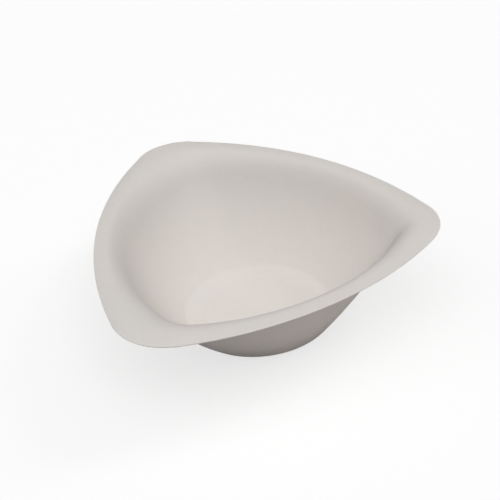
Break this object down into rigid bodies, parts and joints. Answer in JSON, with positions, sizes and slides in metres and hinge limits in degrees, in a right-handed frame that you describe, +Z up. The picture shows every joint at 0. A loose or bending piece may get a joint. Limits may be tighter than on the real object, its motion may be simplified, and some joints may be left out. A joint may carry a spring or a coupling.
{
  "type": "three-cornered receiver dish",
  "caption": "Open hand-held receiver dish with a rounded triangular mouth, a broad rolled flange that droops a little to its edge, and walls lofting down to a flat round floor.",
  "frame": {"origin": "centre of the flat round base, on the plane the dish stands on", "axes": "+Z up through the mouth, +X towards the pouring corner on the mirror plane, +Y towards one rear corner"},
  "size_m": [0.1996, 0.2108, 0.0624],
  "materials": {
    "moulded_fibre": "matte"
  },
  "bodies": {
    "root": {"dish_shell": "moulded_fibre"}
  },
  "joints": []
}
